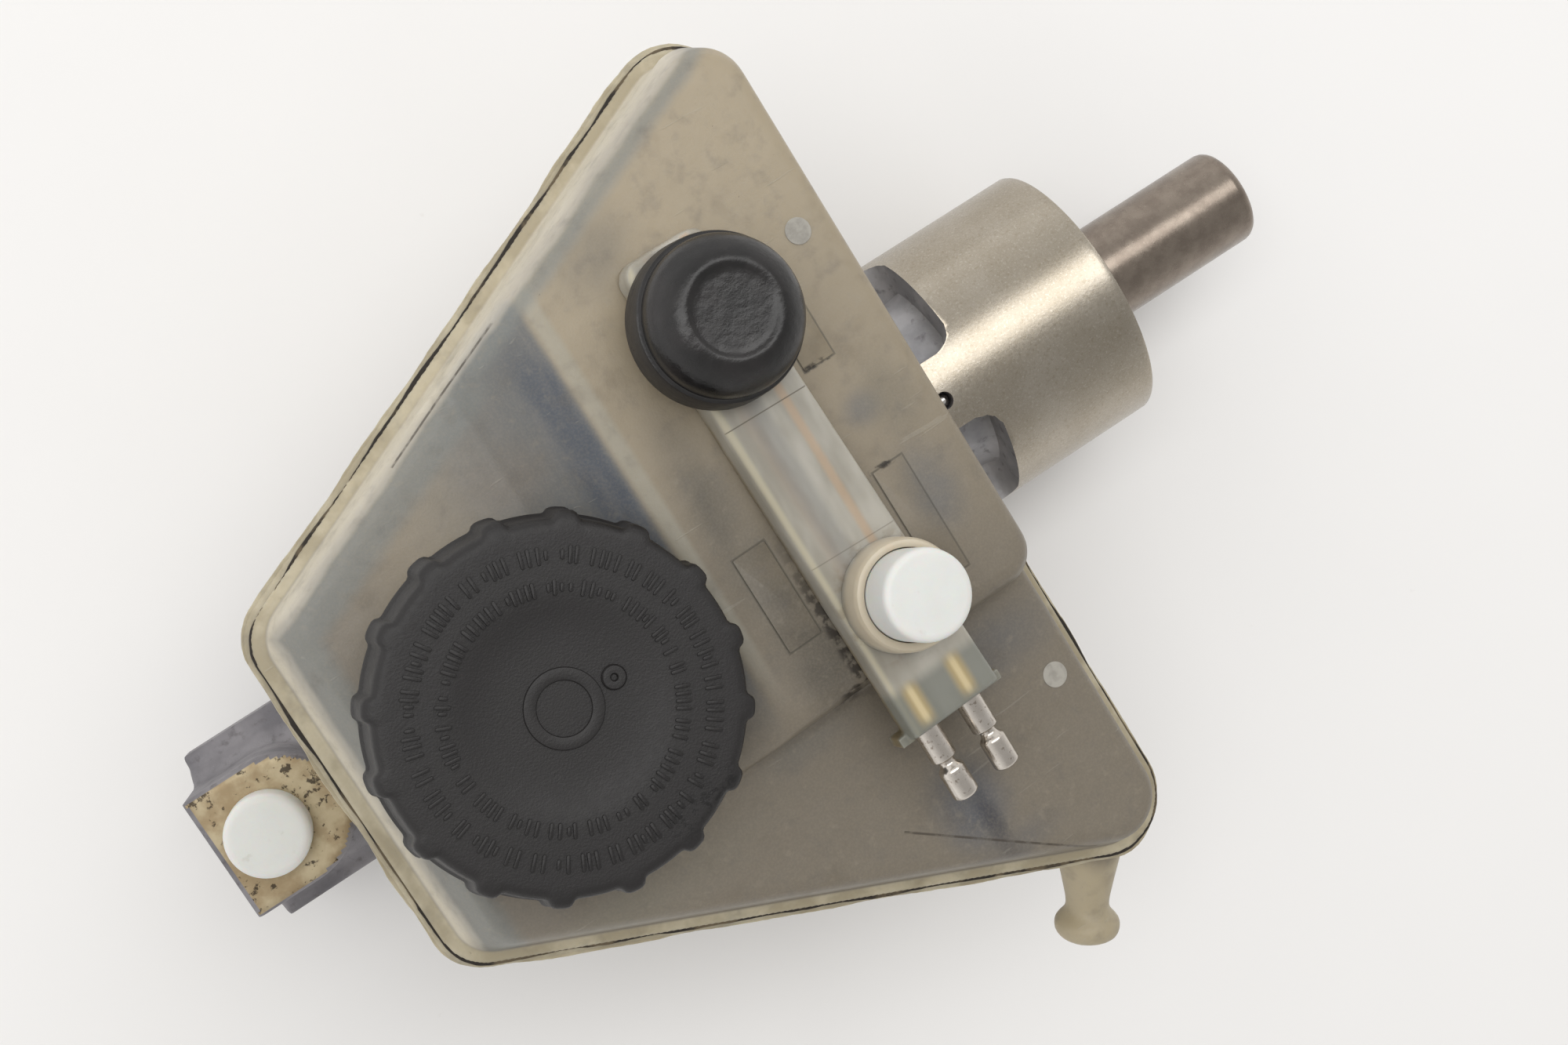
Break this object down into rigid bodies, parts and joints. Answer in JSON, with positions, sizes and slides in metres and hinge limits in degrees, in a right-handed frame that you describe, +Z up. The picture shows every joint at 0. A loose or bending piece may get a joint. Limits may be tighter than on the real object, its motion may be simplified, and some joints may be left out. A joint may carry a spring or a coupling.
{
  "type": "brake master cylinder",
  "caption": "Tandem brake master cylinder with a plunger, a wide rear barrel, a two-ear flange and a wedge-shaped translucent fluid reservoir with a ribbed screw cap.",
  "frame": {"origin": "on the bore axis, in the rear face of the mounting flange", "axes": "+X along the bore towards the plunger, +Z up through the top outlet boss, +Y to the cylinder's left"},
  "size_m": [0.2585, 0.2008, 0.1309],
  "materials": {
    "cast_aluminium": "satin",
    "aged_nylon": "milky translucent, aged",
    "white_plastic": "matte",
    "black_plastic": "fine grain",
    "black_rubber": "semi-gloss",
    "bronze_anodised": "satin anodised",
    "bright_steel": "bright",
    "spring_steel": "oiled",
    "brass": "satin",
    "plated_pin": "plated, worn"
  },
  "bodies": {
    "cylinder": {"cylinder_body": "cast_aluminium", "rear_seal": "black_rubber", "rear_guide_bush": "black_plastic", "rear_circlip": "spring_steel", "ball_plug": "bright_steel", "stop_pin": "bright_steel", "tube_seat_top": "brass", "tube_seat_side": "brass", "reservoir_pin": "bright_steel", "grommet_front": "black_rubber", "grommet_rear": "black_rubber", "reservoir_lower_shell": "aged_nylon", "reservoir_upper_shell": "aged_nylon", "strainer": "white_plastic", "level_guide_test": "white_plastic", "level_guide_socket": "white_plastic", "contact_bar": "aged_nylon", "contact_rail_front": "brass", "contact_rail_rear": "brass", "terminal_pin_front": "plated_pin", "terminal_pin_rear": "plated_pin", "socket_collar": "aged_nylon", "test_boot": "black_rubber", "test_spring": "spring_steel", "secondary_spring": "spring_steel"},
    "primary_piston": {"primary_piston": "bronze_anodised", "primary_seal_front": "black_rubber", "primary_seal_rear": "black_rubber", "retainer_screw": "bright_steel"},
    "secondary_piston": {"secondary_piston": "bronze_anodised", "secondary_seal_front": "black_rubber", "secondary_seal_rear": "black_rubber", "secondary_spring_seat": "bright_steel", "spring_hat": "bright_steel", "primary_spring": "spring_steel"},
    "cap_insert": {"cap_diaphragm": "black_rubber"},
    "cap": {"filler_cap": "black_plastic"},
    "test_button": {"test_button": "white_plastic"},
    "float_test": {"level_float_test": "black_plastic"},
    "float_socket": {"level_float_socket": "black_plastic"},
    "outlet_plug_top": {"outlet_plug_top": "white_plastic"},
    "outlet_plug_side": {"outlet_plug_side": "white_plastic"},
    "socket_plug": {"socket_plug": "white_plastic"}
  },
  "joints": [
    {"name": "primary_piston_slide", "type": "slide", "parent": "cylinder", "child": "primary_piston", "axis": [-1, 0, 0], "range_m": [0, 0.032], "stiffness_N_per_m": 1500, "springref_m": -0.02, "deforming": ["primary_spring"]},
    {"name": "secondary_piston_slide", "type": "slide", "parent": "cylinder", "child": "secondary_piston", "axis": [-1, 0, 0], "range_m": [0, 0.0162], "deforming": ["secondary_spring"]},
    {"name": "cap_lift", "type": "slide", "parent": "cylinder", "child": "cap_insert", "axis": [0.1305, 0, 0.9914], "range_m": [0, 0.0102]},
    {"name": "cap_turn", "type": "hinge", "parent": "cap_insert", "child": "cap", "pos_m": [-0.08963, -0.0019, 0.08963], "axis": [0.1305, 0, 0.9914], "range_deg": [0, 720]},
    {"name": "test_button_press", "type": "slide", "parent": "cylinder", "child": "test_button", "axis": [-0.1305, 0, -0.9914], "range_m": [0, 0.004], "stiffness_N_per_m": 500, "springref_m": -0.002, "deforming": ["test_boot", "test_spring"]},
    {"name": "float_test_rise", "type": "slide", "parent": "cylinder", "child": "float_test", "axis": [0.1305, 0, 0.9914], "range_m": [0, 0.012]},
    {"name": "float_socket_rise", "type": "slide", "parent": "cylinder", "child": "float_socket", "axis": [0.1305, 0, 0.9914], "range_m": [0, 0.012]},
    {"name": "outlet_plug_top_pull", "type": "slide", "parent": "cylinder", "child": "outlet_plug_top", "axis": [0, 0, 1], "range_m": [0, 0.02]},
    {"name": "outlet_plug_side_pull", "type": "slide", "parent": "cylinder", "child": "outlet_plug_side", "axis": [0, 1, 0], "range_m": [0, 0.02]},
    {"name": "socket_plug_pull", "type": "slide", "parent": "cylinder", "child": "socket_plug", "axis": [0.1305, 0, 0.9914], "range_m": [0, 0.018]}
  ],
  "couplings": [
    {"joint": "secondary_piston_slide", "follows": "primary_piston_slide", "ratio": 0.5},
    {"joint": "cap_lift", "follows": "cap_turn", "m_per_rad": 0.00079577}
  ]
}
